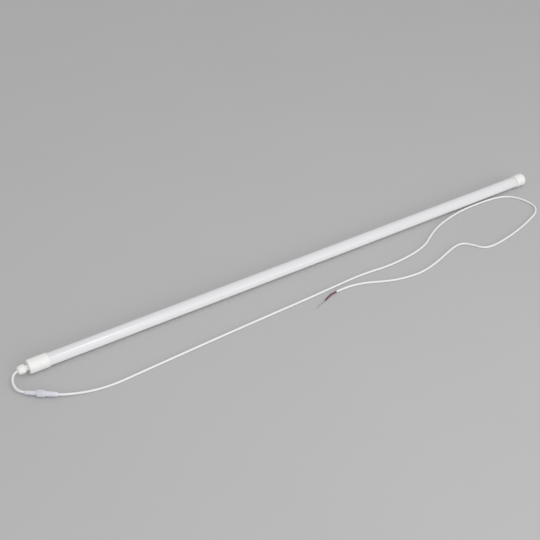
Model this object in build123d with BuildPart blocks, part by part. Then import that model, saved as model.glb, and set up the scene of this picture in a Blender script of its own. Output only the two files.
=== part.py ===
"""Sealed linear tube lamp with a cable gland, a screwed in-line connector and a supply lead, in millimetres.

The lamp lies on the floor along X, with its gland at the -X end and its light side down. The origin is on
the floor, under the middle of the length from the gland nut's front to the closed end.
"""

import os
from math import cos, floor, pi, radians, sin, sqrt, tan

from build123d import *

os.makedirs("parts", exist_ok=True)

# Diffuser tube
lamp_length = 1245.0  # over the two end caps
tube_od = 25.4
tube_wall = 1.2
ledge_width = 1.6  # inner ledges that carry the rail
ledge_thickness = 1.2

# End caps
cap_wall = 1.4  # sleeve around the tube
tube_fit = 0.1  # radial clearance of the tube in a sleeve
gland_edge_radius = 1.2
closed_edge_radius = 2.2
seat_lip = 1.0  # how far a gasket's seat stands in past the tube's bore
gasket_thickness = 1.5
gland_end_wall = 4.0
gland_chamber_length = 13.0  # room for the feed wires behind the tube
gland_socket_depth = 22.0
closed_end_wall = 2.5
closed_recess_depth = 3.5
closed_socket_depth = 19.3

# Cable gland
cord_od = 4.4
cord_fit = 0.4  # radial clearance of the cord in plain holes
seal_wall = 1.5
seal_length = 10.0
seal_fit = 0.05  # radial clearance of the squeezed rubber bush
seal_chamfer = 0.4
finger_root_wall = 1.45
finger_tip_wall = 0.7
finger_length = 3.5
finger_taper_length = 2.0
finger_clearance = 0.15  # from the fingers to the nut's cone
finger_count = 8
finger_slot_width = 0.9
thread_depth = 0.8
thread_fit = 0.1
spigot_length = 12.5
neck_length = 6.2  # spigot that shows between the cap and the nut
nut_wall = 2.1  # over the thread, at the flats
nut_corner_rise = 0.6  # rounded corners above the flats
nut_dome_length = 6.0
nut_front_gap = 2.4  # in front of the fingers
nut_front_wall = 2.0
nut_rim_width = 2.0  # flat ring around the cord's hole
nut_chamfer = 0.6

# Rail and light board
rail_fit = 0.2
rail_wall = 1.4
rail_face_height = 6.5  # the rail's flat face above the tube's axis
rail_end_gap = 6.0  # from each end of the tube
lip_wall = 0.9
lip_overlap = 0.7  # under each edge of the board
board_width = 10.0
board_thickness = 1.2
board_fit = 0.1
board_end_gap = 3.0  # from each end of the rail
board_end_margin = 12.0  # bare board for the feed wires
chip_pitch = 13.5
chips_in_string = 7
chip_length = 3.5
chip_width = 2.8
chip_height = 0.8
resistor_length = 3.2
resistor_width = 1.6
resistor_height = 0.6

# Connector, with lengths counted from the lamp's half
connector_x = -26.3  # its start, from the gland cap's end face
connector_y = -52.4
connector_heading = -37.0  # degrees from +X
cord_entry_depth = 5.3
moulding_fit = 0.1
plug_end_wall = 1.0  # around the cord at the plug's blunt end
plug_wall = 1.6  # around the cord in the plug's grip
plug_grip_rise = 0.7  # the grip is wider at the coupling nut
plug_taper_length = 0.8
plug_grip_length = 23.0
socket_end_wall = 0.6  # around the cord at the socket's tapered end
socket_wall = 2.3  # around the cord in the socket's grip
socket_grip_rise = 0.6  # the grip is wider at the coupling nut
socket_grip_length = 24.1
socket_taper_length = 3.8
flange_rise = 0.5  # above the grip, inside the coupling nut
flange_thickness = 0.9
barrel_length = 10.2  # threaded barrel in front of the plug's grip
barrel_wall = 1.7
barrel_floor_wall = 1.5
nose_fit = 0.1
o_ring_section = 0.9
coupling_wall = 1.1  # over the thread
coupling_lip = 1.8  # behind the flange
coupling_lead = 0.6  # how far the nut reaches back over the plug's grip
coupling_chamfer = 0.8
flute_count = 14
flute_radius = 0.7
contact_spacing = 3.4
pin_diameter = 1.0
pin_root = 3.5
pin_setback = 1.5  # behind the barrel's rim
sleeve_wall = 0.3
sleeve_setback = 1.9  # behind the nose's front
contact_fit = 0.1

# Conductors
wire_od = 1.5
strand_od = 0.9
wire_gap = 0.2  # between the two conductors in the sheath
sheath_tail = 3.0  # sheath inside the gland cap
feed_spread = 2.5  # each feed wire's pad, from the board's middle

# Sizes that follow from these
tube_radius = tube_od / 2
tube_bore = tube_radius - tube_wall
socket_radius = tube_radius + tube_fit
cap_radius = socket_radius + cap_wall
cap_mouth_chamfer = 0.35 * cap_wall
chamber_radius = tube_bore - seat_lip
axis_height = cap_radius
cord_radius = cord_od / 2
seal_radius = cord_radius + seal_wall
finger_bore = seal_radius + seal_fit
finger_root_radius = finger_bore + finger_root_wall
finger_tip_radius = finger_bore + finger_tip_wall
spigot_radius = finger_root_radius + thread_depth
nut_bore = spigot_radius + thread_fit
nut_across_flats = 2 * (nut_bore + nut_wall)
nut_corner_radius = nut_across_flats / 2 + nut_corner_rise
cord_hole = cord_radius + cord_fit

# Places along the lamp
gland_cap_length = gland_end_wall + gland_chamber_length + gland_socket_depth
closed_cap_length = closed_end_wall + closed_recess_depth + closed_socket_depth
gland_reach = spigot_length + finger_length + nut_front_gap + nut_front_wall
nut_length = gland_reach - neck_length
gland_face = (gland_reach - lamp_length) / 2
closed_face = gland_face + lamp_length
gland_mouth = gland_face + gland_cap_length
gland_seat = gland_mouth - gland_socket_depth
closed_mouth = closed_face - closed_cap_length
closed_seat = closed_mouth + closed_socket_depth
tube_start = gland_seat + gasket_thickness
tube_length = closed_seat - gasket_thickness - tube_start
nut_rear = gland_face - neck_length
nut_front = nut_rear - nut_length
thread_end = gland_face - spigot_length
finger_tip = thread_end - finger_length
finger_taper = finger_tip + finger_taper_length
rail_start = tube_start + rail_end_gap
rail_length = tube_length - 2 * rail_end_gap
board_length = rail_length - 2 * board_end_gap
board_start = rail_start + board_end_gap
board_centre = board_start + board_length / 2

lamp_axis = Axis((0, 0, axis_height), (1, 0, 0))
lamp_profile = Plane(origin=(0, 0, axis_height), x_dir=(1, 0, 0), z_dir=(0, -1, 0))


def across(x):
    """Plane square to the lamp's axis at x, with local x along +Y and local y up."""
    return Plane(origin=(x, 0, axis_height), x_dir=(0, 1, 0), z_dir=(1, 0, 0))


# The diffuser tube is one extrusion, with a ledge on each side under the rail.
ledge_top = rail_face_height - rail_fit
ledge_inner = sqrt(tube_bore**2 - ledge_top**2) - ledge_width
ledge_place = (Align.CENTER, Align.MAX)

with BuildPart() as diffuser_tube:
    with BuildSketch(across(tube_start)):
        with Locations((0, ledge_top)):
            Rectangle(tube_od, ledge_thickness, align=ledge_place)
            Rectangle(2 * ledge_inner, ledge_thickness, align=ledge_place, mode=Mode.SUBTRACT)
        Circle(tube_radius - tube_wall / 2, mode=Mode.INTERSECT)
        with BuildSketch(mode=Mode.PRIVATE) as wall:
            Circle(tube_radius)
            Circle(tube_bore, mode=Mode.SUBTRACT)
        add(wall.sketch)
    extrude(amount=tube_length)
diffuser_tube.part.label = "diffuser_tube"
export_step(diffuser_tube.part, "parts/diffuser_tube.step")

# The gland cap is a sleeve with a stepped bore. Its spigot ends in fingers that the nut squeezes inwards.
with BuildPart() as gland_end_cap:
    with BuildSketch(lamp_profile):
        with BuildLine():
            Polyline(
                (gland_face, 0),
                (gland_face, cap_radius),
                (gland_mouth, cap_radius),
                (gland_mouth, socket_radius),
                (gland_seat, socket_radius),
                (gland_seat, chamber_radius),
                (gland_face + gland_end_wall, chamber_radius),
                (gland_face + gland_end_wall, 0),
                close=True,
            )
        make_face()
    revolve(axis=lamp_axis)
    rims = gland_end_cap.edges().filter_by(GeomType.CIRCLE).group_by(Axis.X)
    fillet(rims[0], radius=gland_edge_radius)
    rims = gland_end_cap.edges().filter_by(GeomType.CIRCLE).group_by(Axis.X)
    chamfer(rims[-1], length=cap_mouth_chamfer)
    with BuildSketch(lamp_profile):
        with BuildLine():
            Polyline(
                (gland_face, 0),
                (gland_face, spigot_radius),
                (thread_end, spigot_radius),
                (thread_end, finger_root_radius),
                (finger_taper, finger_root_radius),
                (finger_tip, finger_tip_radius),
                (finger_tip, 0),
                close=True,
            )
        make_face()
    revolve(axis=lamp_axis)
    with Locations(Plane(origin=(finger_tip, 0, axis_height), z_dir=(-1, 0, 0))):
        CounterBoreHole(cord_hole, finger_bore, seal_length)
    with BuildSketch(across(finger_tip)):
        with PolarLocations(spigot_radius / 2, finger_count):
            Rectangle(spigot_radius, finger_slot_width)
    extrude(amount=finger_length, mode=Mode.SUBTRACT)
gland_end_cap.part.label = "gland_end_cap"
export_step(gland_end_cap.part, "parts/gland_end_cap.step")

# The closed cap is a plain cup with a well rounded end.
with BuildPart() as closed_end_cap:
    with BuildSketch(lamp_profile):
        with BuildLine():
            Polyline(
                (closed_face, 0),
                (closed_face, cap_radius),
                (closed_mouth, cap_radius),
                (closed_mouth, socket_radius),
                (closed_seat, socket_radius),
                (closed_seat, chamber_radius),
                (closed_face - closed_end_wall, chamber_radius),
                (closed_face - closed_end_wall, 0),
                close=True,
            )
        make_face()
    revolve(axis=lamp_axis)
    rims = closed_end_cap.edges().filter_by(GeomType.CIRCLE).group_by(Axis.X)
    fillet(rims[-1], radius=closed_edge_radius)
    rims = closed_end_cap.edges().filter_by(GeomType.CIRCLE).group_by(Axis.X)
    chamfer(rims[0], length=cap_mouth_chamfer)
closed_end_cap.part.label = "closed_end_cap"
export_step(closed_end_cap.part, "parts/closed_end_cap.step")

# A flat ring between each end of the tube and its seat in the cap
with BuildPart() as gland_end_gasket:
    with BuildSketch(across(gland_seat)):
        Circle(tube_radius)
        Circle(tube_bore, mode=Mode.SUBTRACT)
    extrude(amount=gasket_thickness)
gland_end_gasket.part.label = "gland_end_gasket"
export_step(gland_end_gasket.part, "parts/gland_end_gasket.step")

with BuildPart() as closed_end_gasket:
    with BuildSketch(across(closed_seat - gasket_thickness)):
        Circle(tube_radius)
        Circle(tube_bore, mode=Mode.SUBTRACT)
    extrude(amount=gasket_thickness)
closed_end_gasket.part.label = "closed_end_gasket"
export_step(closed_end_gasket.part, "parts/closed_end_gasket.step")

# The rubber bush sits in the spigot, inside the fingers.
with BuildPart() as gland_seal:
    with BuildSketch(across(finger_tip)):
        Circle(seal_radius)
    extrude(amount=seal_length)
    chamfer(gland_seal.edges(), length=seal_chamfer)
    with BuildSketch(across(finger_tip)):
        Circle(cord_radius + seal_fit)
    extrude(amount=seal_length, mode=Mode.SUBTRACT)
gland_seal.part.label = "gland_seal"
export_step(gland_seal.part, "parts/gland_seal.step")

# The dome nut is hexagonal behind and domed in front, with a cone inside that closes the fingers.
with BuildPart() as gland_nut:
    dome_start = nut_front + nut_dome_length
    with BuildSketch(lamp_profile):
        with BuildLine():
            Polyline(
                (nut_front, cord_hole + nut_rim_width),
                (nut_front, 0),
                (nut_rear, 0),
                (nut_rear, nut_corner_radius - nut_chamfer),
                (nut_rear - nut_chamfer, nut_corner_radius),
                (dome_start, nut_corner_radius),
            )
            TangentArc(
                (dome_start, nut_corner_radius),
                (nut_front, cord_hole + nut_rim_width),
                tangent=(-1, 0),
            )
        make_face()
    revolve(axis=lamp_axis)
    with BuildSketch(across(nut_front)):
        RegularPolygon(nut_across_flats / 2, 6, major_radius=False)
    extrude(amount=nut_length, mode=Mode.INTERSECT)
    with BuildSketch(lamp_profile):
        with BuildLine():
            Polyline(
                (nut_rear, 0),
                (nut_rear, nut_bore),
                (finger_taper, nut_bore),
                (finger_tip, finger_tip_radius + finger_clearance),
                (nut_front + nut_front_wall, cord_hole),
                (nut_front, cord_hole),
                (nut_front, 0),
                close=True,
            )
        make_face()
    revolve(axis=lamp_axis, mode=Mode.SUBTRACT)
gland_nut.part.label = "gland_nut"
export_step(gland_nut.part, "parts/gland_nut.step")

# The rail is a hollow extrusion that follows the tube's upper wall, with two lips that hold the board.
rail_radius = tube_bore - rail_fit
leg_inner = board_width / 2 + board_fit
leg_height = board_thickness + board_fit + lip_wall

with BuildPart() as heat_sink_rail:
    with BuildSketch(across(rail_start)):
        Circle(rail_radius)
        with Locations((0, rail_face_height)):
            Rectangle(
                2 * rail_radius,
                rail_radius,
                align=(Align.CENTER, Align.MIN),
                mode=Mode.INTERSECT,
            )
        offset(amount=-rail_wall, mode=Mode.SUBTRACT)
        with BuildSketch(mode=Mode.PRIVATE) as board_lip:
            with Locations((leg_inner, rail_face_height)):
                Rectangle(lip_wall, leg_height, align=(Align.MIN, Align.MAX))
            with Locations((leg_inner + lip_wall, rail_face_height - leg_height)):
                Rectangle(
                    lip_wall + board_fit + lip_overlap,
                    lip_wall,
                    align=(Align.MAX, Align.MIN),
                )
        add(board_lip.sketch)
        mirror(board_lip.sketch, about=Plane.YZ)
    extrude(amount=rail_length)
heat_sink_rail.part.label = "heat_sink_rail"
export_step(heat_sink_rail.part, "parts/heat_sink_rail.step")

# The board lies against the rail's flat face, with its chips facing down.
board_face = axis_height + rail_face_height - board_thickness
board_plane = Plane(origin=(board_centre, 0, board_face), x_dir=(1, 0, 0), z_dir=(0, 0, -1))
string_pitch = chips_in_string * chip_pitch
string_count = floor((board_length - 2 * board_end_margin) / string_pitch)

with BuildPart() as led_board:
    with BuildSketch(board_plane):
        Rectangle(board_length, board_width)
    extrude(amount=-board_thickness)
led_board.part.label = "led_board"
export_step(led_board.part, "parts/led_board.step")

with BuildPart() as led_chips:
    with BuildSketch(board_plane):
        with GridLocations(chip_pitch, 0, chips_in_string * string_count, 1):
            Rectangle(chip_length, chip_width)
    extrude(amount=chip_height)
led_chips.part.label = "led_chips"
export_step(led_chips.part, "parts/led_chips.step")

with BuildPart() as string_resistors:
    with BuildSketch(board_plane):
        with Locations((chip_pitch / 2, 0)):
            with GridLocations(string_pitch, 0, string_count, 1):
                Rectangle(resistor_length, resistor_width)
    extrude(amount=resistor_height)
string_resistors.part.label = "string_resistors"
export_step(string_resistors.part, "parts/string_resistors.step")

# The connector lies on its coupling nut, slantwise to the lamp.
connector_direction = Vector(cos(radians(connector_heading)), sin(radians(connector_heading)), 0)
connector_side = Vector(-connector_direction.Y, connector_direction.X, 0)
entry_bore = cord_radius + moulding_fit
plug_radius = cord_radius + plug_wall
plug_front_radius = plug_radius + plug_grip_rise
socket_end_radius = cord_radius + socket_wall
socket_front_radius = socket_end_radius + socket_grip_rise
barrel_radius = socket_front_radius + flange_rise
barrel_bore = barrel_radius - barrel_wall
nose_radius = barrel_bore - nose_fit
coupling_bore = barrel_radius + thread_fit
coupling_radius = coupling_bore + coupling_wall
pin_radius = pin_diameter / 2
sleeve_radius = pin_radius + contact_fit + sleeve_wall

connector_start = Vector(gland_face + connector_x, connector_y, coupling_radius)
connector_axis = Axis(connector_start, connector_direction)
connector_profile = Plane(connector_start, x_dir=connector_direction, z_dir=-connector_side)


def along(c):
    """Point on the connector's axis at length c."""
    return connector_start + connector_direction * c


def across_connector(c):
    """Plane square to the connector's axis at length c, with local x level."""
    return Plane(along(c), x_dir=connector_side, z_dir=connector_direction)


barrel_floor = plug_grip_length + barrel_floor_wall
barrel_end = plug_grip_length + barrel_length
nose_front = barrel_floor + nose_fit
flange_front = barrel_end + o_ring_section
flange_rear = flange_front + flange_thickness
flange_seat = flange_rear + moulding_fit
coupling_start = plug_grip_length - coupling_lead
coupling_end = flange_seat + coupling_lip
coupling_length = coupling_end - coupling_start
connector_length = coupling_end + socket_grip_length
socket_taper = connector_length - socket_taper_length

# The lamp's half has a grip that narrows towards the pigtail, and a threaded barrel around its pins.
with BuildPart() as plug_body:
    with BuildSketch(connector_profile):
        with BuildLine():
            Polyline(
                (0, entry_bore),
                (0, entry_bore + plug_end_wall),
                (plug_taper_length, plug_radius),
                (plug_grip_length, plug_front_radius),
                (plug_grip_length, barrel_radius),
                (barrel_end, barrel_radius),
                (barrel_end, barrel_bore),
                (barrel_floor, barrel_bore),
                (barrel_floor, 0),
                (cord_entry_depth, 0),
                (cord_entry_depth, entry_bore),
                close=True,
            )
        make_face()
    revolve(axis=connector_axis)
    with BuildSketch(across_connector(barrel_floor)):
        with GridLocations(contact_spacing, 0, 2, 1):
            Circle(pin_radius)
    extrude(amount=-pin_root, mode=Mode.SUBTRACT)
plug_body.part.label = "plug_body"
export_step(plug_body.part, "parts/plug_body.step")

with BuildPart() as plug_pins:
    with BuildSketch(across_connector(barrel_floor - pin_root)):
        with GridLocations(contact_spacing, 0, 2, 1):
            Circle(pin_radius)
    extrude(amount=barrel_end - pin_setback - barrel_floor + pin_root)
    chamfer(plug_pins.edges().group_by(connector_axis)[-1], length=pin_radius / 2)
plug_pins.part.label = "plug_pins"
export_step(plug_pins.part, "parts/plug_pins.step")

# The supply half has a nose that enters the barrel, a flange that the coupling nut pulls on, and a
# grip that narrows towards the lead.
with BuildPart() as socket_body:
    with BuildSketch(connector_profile):
        with BuildLine():
            Polyline(
                (nose_front, 0),
                (nose_front, nose_radius),
                (flange_front, nose_radius),
                (flange_front, barrel_radius),
                (flange_rear, barrel_radius),
                (flange_rear, socket_front_radius),
                (coupling_end, socket_front_radius),
                (socket_taper, socket_end_radius),
                (connector_length, entry_bore + socket_end_wall),
                (connector_length, entry_bore),
                (connector_length - cord_entry_depth, entry_bore),
                (connector_length - cord_entry_depth, 0),
                close=True,
            )
        make_face()
    revolve(axis=connector_axis)
    with BuildSketch(across_connector(flange_front)):
        with GridLocations(contact_spacing, 0, 2, 1):
            Circle(sleeve_radius)
    extrude(amount=nose_front - flange_front, mode=Mode.SUBTRACT)
socket_body.part.label = "socket_body"
export_step(socket_body.part, "parts/socket_body.step")

with BuildPart() as socket_contacts:
    with BuildSketch(across_connector(flange_front)):
        with GridLocations(contact_spacing, 0, 2, 1):
            Circle(sleeve_radius)
            Circle(sleeve_radius - sleeve_wall, mode=Mode.SUBTRACT)
    extrude(amount=nose_front + sleeve_setback - flange_front)
socket_contacts.part.label = "socket_contacts"
export_step(socket_contacts.part, "parts/socket_contacts.step")

# The O-ring fills the gap between the barrel's end and the flange.
with BuildPart() as connector_o_ring:
    with BuildSketch(connector_profile):
        with Locations(((barrel_end + flange_front) / 2, (barrel_bore + barrel_radius) / 2)):
            Circle(o_ring_section / 2)
    revolve(axis=connector_axis)
connector_o_ring.part.label = "connector_o_ring"
export_step(connector_o_ring.part, "parts/connector_o_ring.step")

# The coupling nut turns on the supply half and screws onto the barrel. Flutes give it grip.
with BuildPart() as coupling_nut:
    with BuildSketch(across_connector(coupling_start)):
        Circle(coupling_radius)
    extrude(amount=coupling_length)
    chamfer(coupling_nut.edges().filter_by(GeomType.CIRCLE), length=coupling_chamfer)
    with BuildSketch(across_connector(coupling_start)):
        with PolarLocations(coupling_radius, flute_count):
            Circle(flute_radius)
    extrude(amount=coupling_length, mode=Mode.SUBTRACT)
    with BuildSketch(across_connector(coupling_end)):
        Circle(socket_front_radius + moulding_fit)
    extrude(amount=-coupling_length, mode=Mode.SUBTRACT)
    with BuildSketch(across_connector(flange_seat)):
        Circle(coupling_bore)
    extrude(amount=coupling_start - flange_seat, mode=Mode.SUBTRACT)
coupling_nut.part.label = "coupling_nut"
export_step(coupling_nut.part, "parts/coupling_nut.step")

# Cords and wires are round tubes along straight runs with tangent arcs, as large as the runs allow.
arc_share = 0.45  # of the shorter run beside a corner
entry_run = 4.0  # straight cord outside each half of the connector


def corner_radii(points):
    """Arc radius at each inner point of a route."""
    radii = []
    for before, corner, after in zip(points, points[1:], points[2:]):
        run_in = corner - before
        run_out = after - corner
        half_turn = radians(run_in.get_angle(run_out)) / 2
        radii.append(arc_share * min(run_in.length, run_out.length) / tan(half_turn))
    return radii


def lay_cord(name, points, diameter):
    """Tube of one diameter along a route, with its radii and its volume printed for comparison."""
    points = [Vector(point) for point in points]
    radii = corner_radii(points)
    with BuildPart() as cord:
        with BuildLine() as route:
            FilletPolyline(*points, radius=radii)
        with BuildSketch(Plane(points[0], z_dir=points[1] - points[0])):
            Circle(diameter / 2)
        sweep()
    length = route.wire().length
    share = cord.part.volume / (pi * diameter**2 / 4 * length)
    print(name, "length", round(length, 1), "volume share", round(share, 5))
    print("  radii", [round(radius) for radius in radii])
    cord.part.label = name
    export_step(cord.part, f"parts/{name}.step")


def from_gland(points):
    """Points given from the gland cap's end face along X, in the part's frame."""
    return [(gland_face + x, y, z) for x, y, z in points]


# The pigtail runs straight through the gland, then swings round and down into the connector.
pigtail_inner_end = gland_end_wall + sheath_tail
pigtail_bend = [
    (pigtail_inner_end, 0, axis_height),
    (-24, 0, axis_height),
    (-33.2, -8.2, 12.8),
    (-38.1, -22.8, 10.4),
    (-37.4, -38.8, 8.2),
]
lay_cord(
    "pigtail_cord",
    from_gland(pigtail_bend) + [along(-entry_run), along(cord_entry_depth)],
    cord_od,
)

# The supply lead comes down from the connector, runs along the lamp, closes up to it near the far end,
# turns back in a wide loop and ends beside its own first run.
lead_descent = [
    (40.2, -96.3, 4.2),
    (64.2, -103.8, cord_radius),
]
lead_on_floor = [
    (92.5, -111.4),
    (126.3, -114.2),
    (167.6, -112),
    (221.6, -109.3),
    (281.8, -106.2),
    (344.1, -103.2),
    (406.4, -100.7),
    (468.8, -98.3),
    (531.1, -96.2),
    (593.6, -93.5),
    (645.8, -90.7),
    (689.5, -88.7),
    (726.8, -90.5),
    (759.7, -93.8),
    (793, -93.2),
    (824.5, -90.3),
    (856.5, -84.6),
    (887.5, -74.5),
    (915.4, -56.3),
    (946.3, -39.4),
    (983, -26.8),
    (1022.7, -17.7),
    (1061.8, -13.1),
    (1103.7, -12.6),
    (1143.1, -15.2),
    (1173.6, -23.8),
    (1192.2, -42.2),
    (1200.9, -68.1),
    (1200.6, -93.8),
    (1183.3, -112.8),
    (1152.1, -125.6),
    (1118, -137.1),
    (1081.5, -146.8),
    (1042.9, -154.6),
    (1007.1, -158.5),
    (984.2, -152.8),
    (973.4, -132.2),
    (955.6, -112.6),
    (924, -118),
    (889, -130.6),
    (850.5, -142.8),
    (814.6, -149.8),
    (781.4, -147.6),
    (750.8, -141.4),
    (722.9, -130.6),
    (697.1, -118),
    (669.8, -109.5),
    (644.2, -106.6),
    (621.8, -107.6),
]
lead_floor_points = [(x, y, cord_radius) for x, y in lead_on_floor]
lay_cord(
    "supply_cord",
    [along(connector_length - cord_entry_depth), along(connector_length + entry_run)]
    + from_gland(lead_descent + lead_floor_points),
    cord_od,
)

# Two insulated conductors leave the sheath's end square to it and drop to the floor. Their ends are
# stripped, with the tinned strands bent a little apart.
wire_radius = wire_od / 2
wire_spacing = wire_od + wire_gap
strand_radius = strand_od / 2
straight_run = 7.0  # of a wire outside its cover


def onward(points, side):
    """First two points of a wire that runs straight on from a route's end, offset sideways."""
    end = Vector(points[-1])
    direction = (end - Vector(points[-2])).normalized()
    start = end + Vector(-direction.Y, direction.X, 0) * side
    return [tuple(start), tuple(start + direction * straight_run)]


red_tail = onward(lead_floor_points, wire_spacing / 2) + [
    (605.5, -110.9, 1.1),
    (596, -114.9, wire_radius),
    (586.7, -119.2, wire_radius),
]
black_tail = onward(lead_floor_points, -wire_spacing / 2) + [
    (605.5, -107.6, 1.1),
    (596.6, -111.6, wire_radius),
    (587.7, -115.6, wire_radius),
]
red_strands = onward(red_tail, 0) + [
    (570.5, -125.9, strand_radius),
    (562, -129, strand_radius),
]
black_strands = onward(black_tail, 0) + [
    (574.8, -120.8, strand_radius),
    (568.1, -120.4, strand_radius),
]
lay_cord("red_conductor", from_gland(red_tail), wire_od)
lay_cord("black_conductor", from_gland(black_tail), wire_od)
lay_cord("red_tinned_end", from_gland(red_strands), strand_od)
lay_cord("black_tinned_end", from_gland(black_strands), strand_od)

# Inside the lamp the same two conductors run from the pigtail's end to the board's face.
feed_level = board_face - wire_radius
for name, side in (("red_feed_wire", -1), ("black_feed_wire", 1)):
    lay_cord(
        name,
        [
            (gland_face + pigtail_inner_end, side * wire_spacing / 2, axis_height),
            (gland_seat, side * wire_spacing / 2, axis_height),
            (rail_start, side * feed_spread, feed_level),
            (board_start + board_end_margin / 2, side * feed_spread, feed_level),
        ],
        wire_od,
    )
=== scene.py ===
"""Sealed tube lamp on a pale floor, with its cable gland, in-line connector and supply lead, in metres."""

import math

import bpy
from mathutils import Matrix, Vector


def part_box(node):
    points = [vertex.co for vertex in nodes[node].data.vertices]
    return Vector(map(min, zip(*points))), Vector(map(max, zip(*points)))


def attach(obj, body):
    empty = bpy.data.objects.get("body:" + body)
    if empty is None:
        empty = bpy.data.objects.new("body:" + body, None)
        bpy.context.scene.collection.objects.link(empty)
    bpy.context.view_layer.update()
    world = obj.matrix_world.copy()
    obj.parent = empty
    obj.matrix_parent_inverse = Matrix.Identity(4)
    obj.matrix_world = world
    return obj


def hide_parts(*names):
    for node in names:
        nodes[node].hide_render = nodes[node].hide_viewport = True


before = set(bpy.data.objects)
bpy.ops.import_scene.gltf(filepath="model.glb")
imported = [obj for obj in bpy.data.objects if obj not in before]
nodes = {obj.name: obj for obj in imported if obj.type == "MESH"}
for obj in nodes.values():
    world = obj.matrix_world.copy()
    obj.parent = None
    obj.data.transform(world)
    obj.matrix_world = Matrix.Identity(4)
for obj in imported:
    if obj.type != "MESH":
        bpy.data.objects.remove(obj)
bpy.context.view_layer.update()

# Viewpoint: standing in front of the gland end and looking down along the lamp.
# The picture is square.
view_down = 37.00
view_turn = -32.17
bpy.ops.object.camera_add(
    location=(-0.9086, -1.3104, 1.1937),
    rotation=(math.radians(90 - view_down), 0, math.radians(view_turn)),
)
viewpoint = bpy.context.object
viewpoint.name = "viewpoint"
viewpoint.data.sensor_width = 36.0
viewpoint.data.lens = 62.15
bpy.context.scene.camera = viewpoint


def finish_of(name, tones, patch, roughness, grain, relief, stretch=(1, 1, 1)):
    """Surface with cloudy tones, uneven gloss and a fine skin. Patch, grain and relief are in metres."""
    finish = bpy.data.materials.new(name)
    finish.use_nodes = True
    tree = finish.node_tree
    shader = tree.nodes["Principled BSDF"]
    place = tree.nodes.new("ShaderNodeTexCoord")
    mapping = tree.nodes.new("ShaderNodeMapping")
    mapping.inputs["Scale"].default_value = stretch
    tree.links.new(place.outputs["Object"], mapping.inputs["Vector"])

    clouds = tree.nodes.new("ShaderNodeTexNoise")
    clouds.inputs["Scale"].default_value = 1 / patch
    clouds.inputs["Detail"].default_value = 4.0
    tree.links.new(mapping.outputs["Vector"], clouds.inputs["Vector"])
    tone = tree.nodes.new("ShaderNodeMix")
    tone.name = "tone"
    tone.data_type = "RGBA"
    tone.inputs["A"].default_value = (*tones[0], 1)
    tone.inputs["B"].default_value = (*tones[1], 1)
    tree.links.new(clouds.outputs["Fac"], tone.inputs["Factor"])
    tree.links.new(tone.outputs["Result"], shader.inputs["Base Color"])

    gloss = tree.nodes.new("ShaderNodeMapRange")
    gloss.inputs["From Min"].default_value = 0.3
    gloss.inputs["From Max"].default_value = 0.7
    gloss.inputs["To Min"].default_value = roughness[0]
    gloss.inputs["To Max"].default_value = roughness[1]
    tree.links.new(clouds.outputs["Fac"], gloss.inputs["Value"])
    tree.links.new(gloss.outputs["Result"], shader.inputs["Roughness"])

    pores = tree.nodes.new("ShaderNodeTexNoise")
    pores.inputs["Scale"].default_value = 1 / grain
    pores.inputs["Detail"].default_value = 3.0
    tree.links.new(mapping.outputs["Vector"], pores.inputs["Vector"])
    skin = tree.nodes.new("ShaderNodeBump")
    skin.inputs["Strength"].default_value = 0.6
    skin.inputs["Distance"].default_value = relief
    tree.links.new(pores.outputs["Fac"], skin.inputs["Height"])
    tree.links.new(skin.outputs["Normal"], shader.inputs["Normal"])
    return finish


def shader_of(finish):
    return finish.node_tree.nodes["Principled BSDF"]


def coat(node, finish):
    """Gives a solid of the frame its finish."""
    for material_slot in nodes[node].material_slots:
        material_slot.material = finish


anodised_rail = finish_of(
    "anodised_rail",
    [(0.56, 0.57, 0.59), (0.66, 0.67, 0.69)],
    patch=0.006,
    roughness=(0.28, 0.42),
    grain=0.0008,
    relief=0.00002,
    stretch=(0.02, 1, 1),
)
shader_of(anodised_rail).inputs["Metallic"].default_value = 1.0
coat("heat_sink_rail", anodised_rail)

# Light board: a long glass-fibre board with a white solder mask, held under the rail by two lips.
# Its chips are yellow phosphor under clear resin, and each string has one black resistor.
white_mask = finish_of(
    "white_mask",
    [(0.80, 0.81, 0.80), (0.74, 0.76, 0.75)],
    patch=0.004,
    roughness=(0.35, 0.5),
    grain=0.0006,
    relief=0.00003,
)
coat("led_board", white_mask)
phosphor = finish_of(
    "phosphor",
    [(0.83, 0.58, 0.06), (0.90, 0.72, 0.16)],
    patch=0.0015,
    roughness=(0.12, 0.3),
    grain=0.0004,
    relief=0.00003,
)
coat("led_chips", phosphor)
resistor_ceramic = finish_of(
    "resistor_ceramic",
    [(0.012, 0.012, 0.013), (0.035, 0.035, 0.037)],
    patch=0.001,
    roughness=(0.3, 0.55),
    grain=0.0003,
    relief=0.00003,
)
coat("string_resistors", resistor_ceramic)

# Diffuser tube: one opal polycarbonate extrusion with two inner ledges under the rail.
# It is pushed into the caps at both ends. Its top is painted greyer as painted shade, standing for the
# rail's shadow behind the opal wall and the dimmer top.
MM = 0.001
tube_low, tube_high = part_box("diffuser_tube")
tube_middle = (tube_low.x + tube_high.x) / 2
tube_length = tube_high.x - tube_low.x
axis_height = (tube_low.z + tube_high.z) / 2
tube_radius = (tube_high.z - tube_low.z) / 2
tube_wall = 1.2 * MM
ledge_size = (2.0 * MM, 1.2 * MM)
ledge_top = axis_height + 6.3 * MM
ledge_middle = 9.0 * MM
# Heights between which the painted shade band on the tube's top fades in.
shade_band_low = axis_height - 7 * MM
shade_band_high = axis_height + 9 * MM
smooth_below = math.radians(32)


def apply_modifiers(piece):
    bpy.context.view_layer.objects.active = piece
    for modifier in list(piece.modifiers):
        bpy.ops.object.modifier_apply(modifier=modifier.name)


def select_only(*pieces):
    bpy.ops.object.select_all(action="DESELECT")
    for piece in pieces:
        piece.select_set(True)
    bpy.context.view_layer.objects.active = pieces[0]


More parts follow.
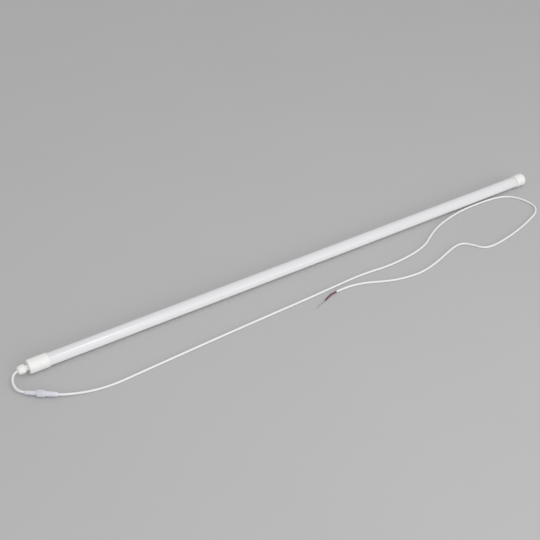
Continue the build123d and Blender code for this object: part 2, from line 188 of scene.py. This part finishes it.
def fit(piece, finish, slot, *replaced):
    """Fixes a finished piece to the lamp in place of its solids."""
    select_only(piece)
    bpy.ops.object.transform_apply(location=True, rotation=True, scale=True)
    if piece.type == "MESH":
        bpy.ops.object.shade_smooth_by_angle(angle=smooth_below)
    piece.data.materials.clear()
    piece.data.materials.append(finish)
    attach(piece, "root")
    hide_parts(*replaced)
    return piece


bpy.ops.object.select_all(action="DESELECT")
bpy.ops.mesh.primitive_cylinder_add(
    vertices=128,
    radius=tube_radius,
    depth=tube_length,
    end_fill_type="NOTHING",
    location=(tube_middle, 0, axis_height),
    rotation=(0, math.pi / 2, 0),
)
tube = bpy.context.object
tube.name = "opal_diffuser_tube"
bpy.ops.object.transform_apply(location=True, rotation=True, scale=True)
wall = tube.modifiers.new("wall", "SOLIDIFY")
wall.thickness = tube_wall
wall.offset = -1.0
apply_modifiers(tube)
ledges = []
for side in (-1, 1):
    bpy.ops.object.select_all(action="DESELECT")
    bpy.ops.mesh.primitive_cube_add(
        size=1,
        location=(tube_middle, side * ledge_middle, ledge_top - ledge_size[1] / 2),
        scale=(tube_length, *ledge_size),
    )
    ledges.append(bpy.context.object)
select_only(tube, *ledges)
bpy.ops.object.join()

opal = finish_of(
    "opal_polycarbonate",
    [(0.945, 0.945, 0.95), (0.915, 0.915, 0.92)],
    patch=0.03,
    roughness=(0.36, 0.46),
    grain=0.0012,
    relief=0.000012,
    stretch=(0.06, 1, 1),
)
shader_of(opal).inputs["Specular IOR Level"].default_value = 0.1
shader_of(opal).inputs["Coat Weight"].default_value = 0.9
shader_of(opal).inputs["Coat Roughness"].default_value = 0.2
opal_tree = opal.node_tree
opal_place = opal_tree.nodes.new("ShaderNodeTexCoord")
opal_height = opal_tree.nodes.new("ShaderNodeSeparateXYZ")
opal_tree.links.new(opal_place.outputs["Object"], opal_height.inputs["Vector"])
# Painted shade: the top of the tube blends towards a grey tone, for the rail's shadow seen through the
# wall.
shade_band = opal_tree.nodes.new("ShaderNodeMapRange")
shade_band.interpolation_type = "SMOOTHSTEP"
shade_band.inputs["From Min"].default_value = shade_band_low
shade_band.inputs["From Max"].default_value = shade_band_high
opal_tree.links.new(opal_height.outputs["Z"], shade_band.inputs["Value"])
shaded_top = opal_tree.nodes.new("ShaderNodeMix")
shaded_top.data_type = "RGBA"
shaded_top.inputs["B"].default_value = (0.775, 0.775, 0.79, 1)
opal_tree.links.new(shade_band.outputs["Result"], shaded_top.inputs["Factor"])
opal_tree.links.new(opal_tree.nodes["tone"].outputs["Result"], shaded_top.inputs["A"])
opal_tree.links.new(shaded_top.outputs["Result"], shader_of(opal).inputs["Base Color"])
fit(tube, opal, "opal_tube", "diffuser_tube")

# Gaskets: a flat ring of soft silicone between each end of the tube and its seat in the cap.
# They keep the wet out, and the bonded caps hold them squeezed.
seal_silicone = finish_of(
    "seal_silicone",
    [(0.58, 0.58, 0.56), (0.50, 0.50, 0.48)],
    patch=0.003,
    roughness=(0.6, 0.75),
    grain=0.0005,
    relief=0.00004,
)
coat("gland_end_gasket", seal_silicone)
coat("closed_end_gasket", seal_silicone)

# Closed end cap: a white moulded cup with a well rounded end and a chamfered mouth.
# It is pressed over the tube, against its gasket, and bonded. Its sizes are in millimetres.
closed_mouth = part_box("closed_end_cap")[0].x
cap_radius = 14.2
socket_radius = 12.8
chamber_radius = 10.5
cap_mouth_chamfer = 0.49
cap_edge_break = 0.15
closed_length = 25.3
closed_floor = 22.8
closed_seat = 19.3
closed_edge_radius = 2.2
weld_distance = 0.002
rim_tolerance = 0.01


def outline(name, profile):
    """Closed half outline above the X axis: corners in millimetres, extruded point by point."""
    bpy.ops.object.select_all(action="DESELECT")
    bpy.ops.mesh.primitive_plane_add(size=MM)
    piece = bpy.context.object
    piece.name = name
    bpy.ops.object.mode_set(mode="EDIT")
    bpy.ops.mesh.select_mode(type="VERT")
    bpy.ops.mesh.select_all(action="SELECT")
    bpy.ops.mesh.merge(type="CENTER")
    bpy.ops.transform.translate(value=(profile[0][0] * MM, 0, profile[0][1] * MM))
    for (x, r), (next_x, next_r) in zip(profile, profile[1:] + profile[:1]):
        bpy.ops.mesh.extrude_vertices_move(
            TRANSFORM_OT_translate={"value": ((next_x - x) * MM, 0, (next_r - r) * MM)}
        )
    bpy.ops.mesh.select_all(action="SELECT")
    bpy.ops.mesh.remove_doubles(threshold=weld_distance * MM)
    return piece


def turned(name, profile, steps=96):
    """Round piece about the X axis, spun from its half outline."""
    piece = outline(name, profile)
    bpy.ops.mesh.spin(steps=steps, angle=2 * math.pi, center=(0, 0, 0), axis=(1, 0, 0))
    bpy.ops.mesh.select_all(action="SELECT")
    bpy.ops.mesh.remove_doubles(threshold=weld_distance * MM)
    bpy.ops.mesh.normals_make_consistent(inside=False)
    bpy.ops.object.mode_set(mode="OBJECT")
    return piece


def round_rim(piece, x, radius, width, segments):
    """Rounds or chamfers the rim at one place of a turned piece. Sizes are in millimetres."""
    select_only(piece)
    bpy.ops.object.mode_set(mode="EDIT")
    bpy.ops.mesh.select_mode(type="EDGE")
    bpy.ops.mesh.select_all(action="DESELECT")
    bpy.ops.object.mode_set(mode="OBJECT")
    vertices = piece.data.vertices
    on_rim = [
        abs(v.co.x - x * MM) < rim_tolerance * MM
        and abs(math.hypot(v.co.y, v.co.z) - radius * MM) < rim_tolerance * MM
        for v in vertices
    ]
    for edge in piece.data.edges:
        edge.select = all(on_rim[v] for v in edge.vertices)
    bpy.ops.object.mode_set(mode="EDIT")
    bpy.ops.mesh.bevel(offset=width * MM, segments=segments, affect="EDGES")
    bpy.ops.object.mode_set(mode="OBJECT")


def soften(piece, width, segments=2, angle=40):
    """Takes the sharpness off the remaining edges, as a mould does. The width is in millimetres."""
    edge_break = piece.modifiers.new("edge_break", "BEVEL")
    edge_break.width = width * MM
    edge_break.segments = segments
    edge_break.limit_method = "ANGLE"
    edge_break.angle_limit = math.radians(angle)
    apply_modifiers(piece)


def let_light_in(finish, share, depth):
    """Makes a plastic slightly milky. The depth is in metres, for red, green and blue."""
    shader = shader_of(finish)
    shader.inputs["Subsurface Weight"].default_value = share
    shader.inputs["Subsurface Scale"].default_value = 1.0
    shader.inputs["Subsurface Radius"].default_value = depth


closed_cap = turned(
    "moulded_closed_cap",
    [
        (0, socket_radius),
        (0, cap_radius),
        (closed_length, cap_radius),
        (closed_length, 0),
        (closed_floor, 0),
        (closed_floor, chamber_radius),
        (closed_seat, chamber_radius),
        (closed_seat, socket_radius),
    ],
)
round_rim(closed_cap, closed_length, cap_radius, closed_edge_radius, 10)
round_rim(closed_cap, 0, cap_radius, cap_mouth_chamfer, 1)
round_rim(closed_cap, 0, socket_radius, cap_mouth_chamfer, 1)
soften(closed_cap, cap_edge_break)
closed_cap.location = (closed_mouth, 0, axis_height)
cap_plastic = finish_of(
    "moulded_cap_plastic",
    [(0.905, 0.90, 0.88), (0.875, 0.87, 0.85)],
    patch=0.012,
    roughness=(0.34, 0.46),
    grain=0.0009,
    relief=0.00003,
)
let_light_in(cap_plastic, 0.08, (0.002, 0.002, 0.002))
fit(closed_cap, cap_plastic, "cap_plastic", "closed_end_cap")

# Gland end cap: a longer white cap, moulded with the gland's threaded spigot and its slotted fingers.
# The thread shows in the short neck between the cap and the dome nut.
# Its sizes are in millimetres, along it from its end face.
gland_length = 39
gland_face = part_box("gland_end_cap")[1].x - gland_length * MM
gland_seat = 17
gland_end_wall = 4
gland_edge_radius = 1.2
cord_hole = 2.6
seal_bore = 3.75
seal_seat = -6
thread_end = -12.5
thread_core = 5.55
thread_start = -12.4
thread_flank = 0.55
thread_crest_width = 0.2
thread_pitch = 1.5
thread_root = 5.45
thread_crest = 6.0
thread_turns = 8
finger_taper = -14
finger_tip = -16
finger_root_radius = 5.2
finger_tip_radius = 4.45
finger_count = 8
finger_slot = (4.0, 3.2, 0.9)
finger_slot_place = (-14.55, 4.6)


def cut_away(piece, cutters):
    """Takes slots, bores or flutes out of a piece. The cutters don't touch each other, and are used up."""
    select_only(*cutters)
    bpy.ops.object.join()
    tool = bpy.context.object
    cut = piece.modifiers.new("cut", "BOOLEAN")
    cut.operation = "DIFFERENCE"
    cut.solver = "EXACT"
    cut.object = tool
    apply_modifiers(piece)
    bpy.data.objects.remove(tool)


gland_cap = turned(
    "moulded_gland_cap",
    [
        (finger_tip, seal_bore),
        (finger_tip, finger_tip_radius),
        (finger_taper, finger_root_radius),
        (thread_end, finger_root_radius),
        (thread_end, thread_core),
        (0, thread_core),
        (0, cap_radius),
        (gland_length, cap_radius),
        (gland_length, socket_radius),
        (gland_seat, socket_radius),
        (gland_seat, chamber_radius),
        (gland_end_wall, chamber_radius),
        (gland_end_wall, cord_hole),
        (seal_seat, cord_hole),
        (seal_seat, seal_bore),
    ],
)
round_rim(gland_cap, 0, cap_radius, gland_edge_radius, 8)
round_rim(gland_cap, gland_length, cap_radius, cap_mouth_chamfer, 1)
round_rim(gland_cap, gland_length, socket_radius, cap_mouth_chamfer, 1)
soften(gland_cap, cap_edge_break)
finger_slots = []
for finger in range(finger_count):
    turn = 2 * math.pi * finger / finger_count
    along, out = finger_slot_place
    bpy.ops.object.select_all(action="DESELECT")
    bpy.ops.mesh.primitive_cube_add(
        size=MM,
        location=(along * MM, out * MM * math.cos(turn), out * MM * math.sin(turn)),
        rotation=(turn, 0, 0),
        scale=finger_slot,
    )
    finger_slots.append(bpy.context.object)
cut_away(gland_cap, finger_slots)

thread = outline(
    "spigot_thread",
    [
        (thread_start, thread_root),
        (thread_start + thread_flank, thread_crest),
        (thread_start + thread_flank + thread_crest_width, thread_crest),
        (thread_start + 2 * thread_flank + thread_crest_width, thread_root),
    ],
)
bpy.ops.object.mode_set(mode="OBJECT")
helix = thread.modifiers.new("helix", "SCREW")
helix.axis = "X"
helix.screw_offset = thread_pitch * MM
helix.iterations = thread_turns
helix.steps = 64
helix.render_steps = 64
apply_modifiers(thread)
bpy.ops.object.mode_set(mode="EDIT")
bpy.ops.mesh.select_all(action="SELECT")
bpy.ops.mesh.fill_holes(sides=0)
bpy.ops.mesh.select_all(action="SELECT")
bpy.ops.mesh.normals_make_consistent(inside=False)
bpy.ops.object.mode_set(mode="OBJECT")
select_only(gland_cap, thread)
bpy.ops.object.join()
gland_cap.location = (gland_face, 0, axis_height)
fit(gland_cap, cap_plastic, "cap_plastic", "gland_end_cap")

# Gland seal and dome nut: a silicone bush on the cord, and the white nylon nut that squeezes it.
# The nut is hexagonal behind and domed in front, with a cone inside that closes the fingers.
# Its sizes are in millimetres, along it from its rear.
coat("gland_seal", seal_silicone)
nut_low, nut_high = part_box("gland_nut")
neck_length = 6.2
nut_length = 14.2
nut_flat = 8.2
nut_corner = 8.8
nut_chamfer = 0.6
nut_bore = 6.1
nut_front_wall = 2.0
nut_edge_break = 0.25
finger_clearance = 0.15
dome_length = 6.0
dome_drop = 4.2
dome_radius = (dome_length**2 + dome_drop**2) / (2 * dome_drop)
dome_end = math.asin(dome_length / dome_radius)
dome_steps = 12
dome = [
    (
        dome_length - nut_length - dome_radius * math.sin(turn),
        nut_corner - dome_radius * (1 - math.cos(turn)),
    )
    for turn in (dome_end * step / dome_steps for step in range(dome_steps + 1))
]
gland_nut = turned(
    "dome_nut",
    [(0, nut_bore), (0, nut_corner - nut_chamfer), (-nut_chamfer, nut_corner)]
    + dome
    + [
        (-nut_length, cord_hole),
        (nut_front_wall - nut_length, cord_hole),
        (finger_tip + neck_length, finger_tip_radius + finger_clearance),
        (finger_taper + neck_length, nut_bore),
    ],
)
bpy.ops.object.mode_set(mode="EDIT")
for flat in range(6):
    bpy.ops.mesh.select_all(action="SELECT")
    turn = math.radians(30 + 60 * flat)
    outward = Vector((0, math.cos(turn), math.sin(turn)))
    bpy.ops.mesh.bisect(
        plane_co=outward * nut_flat * MM,
        plane_no=outward,
        use_fill=True,
        clear_outer=True,
        threshold=0.0005 * MM,
    )
bpy.ops.object.mode_set(mode="OBJECT")
soften(gland_nut, nut_edge_break, 3, angle=12)
gland_nut.location = (nut_high.x, 0, axis_height)
gland_nylon = finish_of(
    "gland_nylon",
    [(0.89, 0.89, 0.865), (0.86, 0.86, 0.83)],
    patch=0.006,
    roughness=(0.42, 0.56),
    grain=0.0007,
    relief=0.00005,
)
let_light_in(gland_nylon, 0.1, (0.002, 0.002, 0.002))
fit(gland_nut, gland_nylon, "gland_nylon", "gland_nut")

# Feed wires: the pigtail's two insulated conductors, one red and one black, inside the gland cap.
# They run from the sheath's inner end to the board and are soldered to it.
red_insulation = finish_of(
    "red_insulation",
    [(0.36, 0.027, 0.072), (0.28, 0.02, 0.055)],
    patch=0.004,
    roughness=(0.24, 0.36),
    grain=0.0004,
    relief=0.00003,
)
black_insulation = finish_of(
    "black_insulation",
    [(0.018, 0.018, 0.02), (0.035, 0.034, 0.036)],
    patch=0.004,
    roughness=(0.24, 0.36),
    grain=0.0004,
    relief=0.00003,
)
coat("red_feed_wire", red_insulation)
coat("black_feed_wire", black_insulation)

# In-line connector: two moulded halves of slightly clear white plastic on the cords, with brass contacts
# and an O-ring inside. It lies slantwise in front of the gland and rests on its coupling nut.
# Its sizes are in millimetres, along it from the pigtail's end.
coupling_radius = 6.8
connector_start = Vector((gland_face - 26.3 * MM, -52.4 * MM, coupling_radius * MM))
connector_heading = math.radians(-37)
connector_direction = Vector((math.cos(connector_heading), math.sin(connector_heading), 0))
connector_length = 61.0
connector_edge_break = 0.2
cord_entry_depth = 5.3
entry_bore = 2.3
plug_end_radius = 3.3
plug_taper_length = 0.8
plug_radius = 3.8
plug_end_rounding = 0.4
plug_grip_length = 23
plug_front_radius = 4.5
barrel_radius = 5.6
barrel_bore = 3.9
barrel_floor = 24.5
barrel_end = 33.2
nose_front = 24.6
nose_radius = 3.8
flange_front = 34.1
flange_rear = 35
coupling_end = 36.9
socket_front_radius = 5.1
socket_taper = 57.2
socket_grip_radius = 4.5
socket_end_radius = 2.9
socket_end_rounding = 1.0
contact_spacing = 3.4
pin_radius = 0.5
pin_root = 3.5
sleeve_radius = 0.9
cutter_overrun = 0.5
connector_plastic = finish_of(
    "connector_plastic",
    [(0.75, 0.755, 0.815), (0.70, 0.705, 0.765)],
    patch=0.008,
    roughness=(0.28, 0.4),
    grain=0.0008,
    relief=0.00003,
)
let_light_in(connector_plastic, 0.3, (0.003, 0.003, 0.004))
contact_brass = finish_of(
    "contact_brass",
    [(0.72, 0.50, 0.17), (0.60, 0.40, 0.12)],
    patch=0.002,
    roughness=(0.2, 0.35),
    grain=0.0003,
    relief=0.00001,
)
shader_of(contact_brass).inputs["Metallic"].default_value = 1.0
coat("plug_pins", contact_brass)
coat("socket_contacts", contact_brass)
coat("connector_o_ring", seal_silicone)


def place_on_connector(piece):
    piece.rotation_euler = (0, 0, connector_heading)
    piece.location = connector_start


def rod(radius, start, end, y, z, sides):
    """Round rod along the X axis. Sizes are in millimetres."""
    bpy.ops.object.select_all(action="DESELECT")
    bpy.ops.mesh.primitive_cylinder_add(
        vertices=sides,
        radius=radius * MM,
        depth=(end - start) * MM,
        location=((start + end) / 2 * MM, y * MM, z * MM),
        rotation=(0, math.pi / 2, 0),
    )
    return bpy.context.object


def bore_for_contacts(piece, radius, start, end):
    """Two bores side by side in one half of the connector. Sizes are in millimetres."""
    aside = contact_spacing / 2
    cut_away(piece, [rod(radius, start, end, y, 0, sides=32) for y in (-aside, aside)])


plug_half = turned(
    "plug_half",
    [
        (0, entry_bore),
        (0, plug_end_radius),
        (plug_taper_length, plug_radius),
        (plug_grip_length, plug_front_radius),
        (plug_grip_length, barrel_radius),
        (barrel_end, barrel_radius),
        (barrel_end, barrel_bore),
        (barrel_floor, barrel_bore),
        (barrel_floor, 0),
        (cord_entry_depth, 0),
        (cord_entry_depth, entry_bore),
    ],
    steps=64,
)
round_rim(plug_half, plug_taper_length, plug_radius, plug_end_rounding, 4)
soften(plug_half, connector_edge_break, 3, angle=25)
bore_for_contacts(plug_half, pin_radius, barrel_floor - pin_root, barrel_floor + cutter_overrun)
place_on_connector(plug_half)
fit(plug_half, connector_plastic, "connector_plastic", "plug_body")

socket_half = turned(
    "socket_half",
    [
        (nose_front, 0),
        (nose_front, nose_radius),
        (flange_front, nose_radius),
        (flange_front, barrel_radius),
        (flange_rear, barrel_radius),
        (flange_rear, socket_front_radius),
        (coupling_end, socket_front_radius),
        (socket_taper, socket_grip_radius),
        (connector_length, socket_end_radius),
        (connector_length, entry_bore),
        (connector_length - cord_entry_depth, entry_bore),
        (connector_length - cord_entry_depth, 0),
    ],
    steps=64,
)
round_rim(socket_half, socket_taper, socket_grip_radius, socket_end_rounding, 4)
soften(socket_half, connector_edge_break, 3, angle=25)
bore_for_contacts(socket_half, sleeve_radius, nose_front - cutter_overrun, flange_front)
place_on_connector(socket_half)
fit(socket_half, connector_plastic, "connector_plastic", "socket_body")

# Coupling nut: moulded of the same plastic, with flutes for the fingers.
# It turns on the supply half, pulls on its flange and screws onto the barrel of the other half.
coupling_start = 22.4
coupling_bore = 5.7
coupling_chamfer = 0.8
coupling_lip = 35.1
coupling_lip_bore = 5.2
coupling_edge_break = 0.12
flute_count = 14
flute_radius = 0.7
coupling_nut = turned(
    "fluted_coupling_nut",
    [
        (coupling_start, coupling_bore),
        (coupling_start, coupling_radius - coupling_chamfer),
        (coupling_start + coupling_chamfer, coupling_radius),
        (coupling_end - coupling_chamfer, coupling_radius),
        (coupling_end, coupling_radius - coupling_chamfer),
        (coupling_end, coupling_lip_bore),
        (coupling_lip, coupling_lip_bore),
        (coupling_lip, coupling_bore),
    ],
    steps=112,
)
flutes = []
for flute in range(flute_count):
    turn = 2 * math.pi * flute / flute_count
    flutes.append(
        rod(
            flute_radius,
            coupling_start - cutter_overrun,
            coupling_end + cutter_overrun,
            coupling_radius * math.cos(turn),
            coupling_radius * math.sin(turn),
            sides=24,
        )
    )
cut_away(coupling_nut, flutes)
soften(coupling_nut, coupling_edge_break, 2, angle=35)
place_on_connector(coupling_nut)
fit(coupling_nut, connector_plastic, "connector_plastic", "coupling_nut")


# Pigtail: a short white cord with a soft extruded sheath, clamped in the gland and moulded into the plug.
# It runs straight out of the nut, then swings round and down to the connector.
def lay_cord(name, points, diameter):
    """Smooth round cord along a route, both in metres."""
    line = bpy.data.curves.new(name, "CURVE")
    line.dimensions = "3D"
    line.bevel_depth = diameter / 2
    line.bevel_resolution = 6
    line.resolution_u = 10
    line.use_fill_caps = True
    spline = line.splines.new("NURBS")
    spline.points.add(len(points) - 1)
    for control, place in zip(spline.points, points):
        control.co = (*place, 1)
    spline.order_u = 3
    spline.use_endpoint_u = True
    cord = bpy.data.objects.new(name, line)
    bpy.context.scene.collection.objects.link(cord)
    return cord


def from_gland(points):
    """Millimetres from the gland cap's end face, in the lamp's frame in metres."""
    return [(gland_face + x * MM, y * MM, z * MM) for x, y, z in points]


def on_connector(along):
    """Point on the connector's middle line, from millimetres along it."""
    return tuple(connector_start + connector_direction * along * MM)


cord_diameter = 4.4 * MM
straight_entry = 4
cord_sheath = finish_of(
    "cord_sheath",
    [(0.87, 0.87, 0.865), (0.82, 0.82, 0.815)],
    patch=0.015,
    roughness=(0.38, 0.52),
    grain=0.0008,
    relief=0.00003,
)
pigtail = lay_cord(
    "pigtail",
    from_gland(
        [
            (7, 0, cap_radius),
            (-12.8, 0, cap_radius),
            (-24, 0, cap_radius),
            (-33.2, -8.2, 12.8),
            (-38.1, -22.8, 10.4),
            (-37.4, -38.8, 8.2),
        ]
    )
    + [on_connector(-straight_entry), on_connector(cord_entry_depth)],
    cord_diameter,
)
fit(pigtail, cord_sheath, "cord_sheath", "pigtail_cord")

# Supply lead: the same white cord from the other half of the connector. It comes down to the floor, runs
# along the lamp, closes up to it near the far end, turns back in a wide loop and ends beside its first run.
cord_on_floor = 2.2
descent = [(40.2, -96.3, 4.2), (64.2, -103.8, cord_on_floor)]
floor_run = [
    (92.5, -111.4),
    (126.3, -114.2),
    (167.6, -112),
    (221.6, -109.3),
    (281.8, -106.2),
    (344.1, -103.2),
    (406.4, -100.7),
    (468.8, -98.3),
    (531.1, -96.2),
    (593.6, -93.5),
    (645.8, -90.7),
    (689.5, -88.7),
    (726.8, -90.5),
    (759.7, -93.8),
    (793, -93.2),
    (824.5, -90.3),
    (856.5, -84.6),
    (887.5, -74.5),
    (915.4, -56.3),
    (946.3, -39.4),
    (983, -26.8),
    (1022.7, -17.7),
    (1061.8, -13.1),
    (1103.7, -12.6),
    (1143.1, -15.2),
    (1173.6, -23.8),
    (1192.2, -42.2),
    (1200.9, -68.1),
    (1200.6, -93.8),
    (1183.3, -112.8),
    (1152.1, -125.6),
    (1118, -137.1),
    (1081.5, -146.8),
    (1042.9, -154.6),
    (1007.1, -158.5),
    (984.2, -152.8),
    (973.4, -132.2),
    (955.6, -112.6),
    (924, -118),
    (889, -130.6),
    (850.5, -142.8),
    (814.6, -149.8),
    (781.4, -147.6),
    (750.8, -141.4),
    (722.9, -130.6),
    (697.1, -118),
    (669.8, -109.5),
    (644.2, -106.6),
    (621.8, -107.6),
]
supply_lead = lay_cord(
    "supply_lead",
    [on_connector(connector_length - cord_entry_depth), on_connector(connector_length + straight_entry)]
    + from_gland(descent + [(x, y, cord_on_floor) for x, y in floor_run]),
    cord_diameter,
)
fit(supply_lead, cord_sheath, "cord_sheath", "supply_cord")

# Conductors: a red and a black one come out of the sheath's cut end, drop to the floor and lie together.
# Their ends are stripped, the tinned strands are twisted and bent a little apart, and one has come loose.
wire_diameter = 1.5 * MM
strand_diameter = 0.33
strand_spread = 0.36
strand_count = 7
strand_cuts = 40
lead_end = (*floor_run[-1], cord_on_floor)
across_lead_end = (0.0446, -0.999)
wire_offset = 0.85
tinned = finish_of(
    "tinned_strands",
    [(0.78, 0.78, 0.77), (0.56, 0.555, 0.545)],
    patch=0.0015,
    roughness=(0.25, 0.45),
    grain=0.0003,
    relief=0.00002,
)
shader_of(tinned).inputs["Metallic"].default_value = 1.0


def twisted_strands(name, route, length, turns):
    """Fine wires, the last in the middle of the others, twisted and bent along a route.

    The length is in millimetres.
    """
    strands = []
    for strand in range(strand_count):
        turn = 2 * math.pi * strand / (strand_count - 1)
        out = 0 if strand == strand_count - 1 else strand_spread
        y, z = out * math.cos(turn), out * math.sin(turn)
        strands.append(rod(strand_diameter / 2, 0, length, y, z, sides=10))
    select_only(*strands)
    bpy.ops.object.join()
    bundle = bpy.context.object
    bundle.name = name
    bpy.ops.object.transform_apply(location=True, rotation=True, scale=True)
    bpy.ops.object.mode_set(mode="EDIT")
    bpy.ops.mesh.select_mode(type="EDGE")
    bpy.ops.mesh.select_all(action="DESELECT")
    bpy.ops.object.mode_set(mode="OBJECT")
    for edge in bundle.data.edges:
        start, end = (bundle.data.vertices[v].co for v in edge.vertices)
        edge.select = abs(start.x - end.x) > length / 2 * MM
    bpy.ops.object.mode_set(mode="EDIT")
    bpy.ops.mesh.subdivide(number_cuts=strand_cuts)
    bpy.ops.object.mode_set(mode="OBJECT")
    twist = bundle.modifiers.new("twist", "SIMPLE_DEFORM")
    twist.deform_method = "TWIST"
    twist.deform_axis = "X"
    twist.angle = 2 * math.pi * turns
    bend = bundle.modifiers.new("bend", "CURVE")
    bend.object = route
    bend.deform_axis = "POS_X"
    apply_modifiers(bundle)
    bpy.data.objects.remove(route)
    return bundle


loose_strand = [(567.5, -124.8, 0.7), (561.5, -129.8, 0.4), (553, -129.6, 0.2), (544.9, -128.1, 0.2)]
tails = {
    "red": (
        1,
        red_insulation,
        [(614.85, -108.76, 2.2), (605.5, -110.9, 1.1), (596, -114.9, 0.75), (586.7, -119.2, 0.75)],
        0.0372,
        [(580.4, -121.6, 0.75), (573.5, -122.3, 0.6), (567.5, -124.6, 0.55), (562, -129.2, 0.55)],
        26.6,
        3.2,
    ),
    "black": (
        -1,
        black_insulation,
        [(614.77, -107.06, 2.2), (605.5, -107.6, 1.1), (596.6, -111.6, 0.75), (587.7, -115.6, 0.75)],
        0.0358,
        [(581.5, -119.4, 0.75), (574.8, -121, 0.6), (571.2, -121.2, 0.55), (568.6, -118.6, 0.55)],
        20.6,
        2.4,
    ),
}
for colour, (side, insulation, run, run_length, bare, bare_length, turns) in tails.items():
    start = (
        lead_end[0] + side * wire_offset * across_lead_end[0],
        lead_end[1] + side * wire_offset * across_lead_end[1],
        lead_end[2],
    )
    conductor = lay_cord(colour + "_insulated_wire", from_gland([start] + run), wire_diameter)
    fit(conductor, insulation, colour + "_insulation", colour + "_conductor")
    bare_route = lay_cord(colour + "_bare_route", from_gland([run[-1]] + bare), 0)
    strands = twisted_strands(colour + "_tinned_strands", bare_route, bare_length, turns)
    if colour == "red":
        stray = lay_cord("stray_strand", from_gland(loose_strand), strand_diameter * MM)
        select_only(stray)
        bpy.ops.object.convert(target="MESH")
        select_only(strands, bpy.context.object)
        bpy.ops.object.join()
    fit(strands, tinned, "tinned_copper", colour + "_tinned_end")

# Floor and light: a plain pale floor, a small soft lamp above the near side, a large one far in front, and
# an even light from all round.
bpy.ops.object.select_all(action="DESELECT")
bpy.ops.mesh.primitive_circle_add(vertices=96, radius=6.2, fill_type="NGON")
floor = bpy.context.object
floor.name = "floor"
pale_floor = finish_of(
    "pale_floor",
    [(0.52, 0.52, 0.525), (0.505, 0.505, 0.51)],
    patch=0.3,
    roughness=(0.75, 0.85),
    grain=0.004,
    relief=0.00005,
)
floor.data.materials.append(pale_floor)

aim_point = Vector((0.1, 0, 0))
for name, place, width, height, power in (
    ("high_softbox", (0.04, -1.24, 1.78), 0.3, 0.3, 7.0),
    ("low_softbox", (0.2, -5.6, 2.0), 7.0, 3.2, 112.0),
):
    bpy.ops.object.light_add(type="AREA", location=place)
    softbox = bpy.context.object
    softbox.name = name
    softbox.data.shape = "RECTANGLE"
    softbox.data.size = width
    softbox.data.size_y = height
    softbox.data.energy = power
    aim = aim_point - Vector(place)
    softbox.rotation_euler = aim.to_track_quat("-Z", "Y").to_euler()

room = bpy.data.worlds.new("room")
room.use_nodes = True
room.node_tree.nodes["Background"].inputs["Color"].default_value = (1.0, 1.0, 1.0, 1)
room.node_tree.nodes["Background"].inputs["Strength"].default_value = 0.675
bpy.context.scene.world = room
bpy.context.scene.view_settings.view_transform = "Standard"
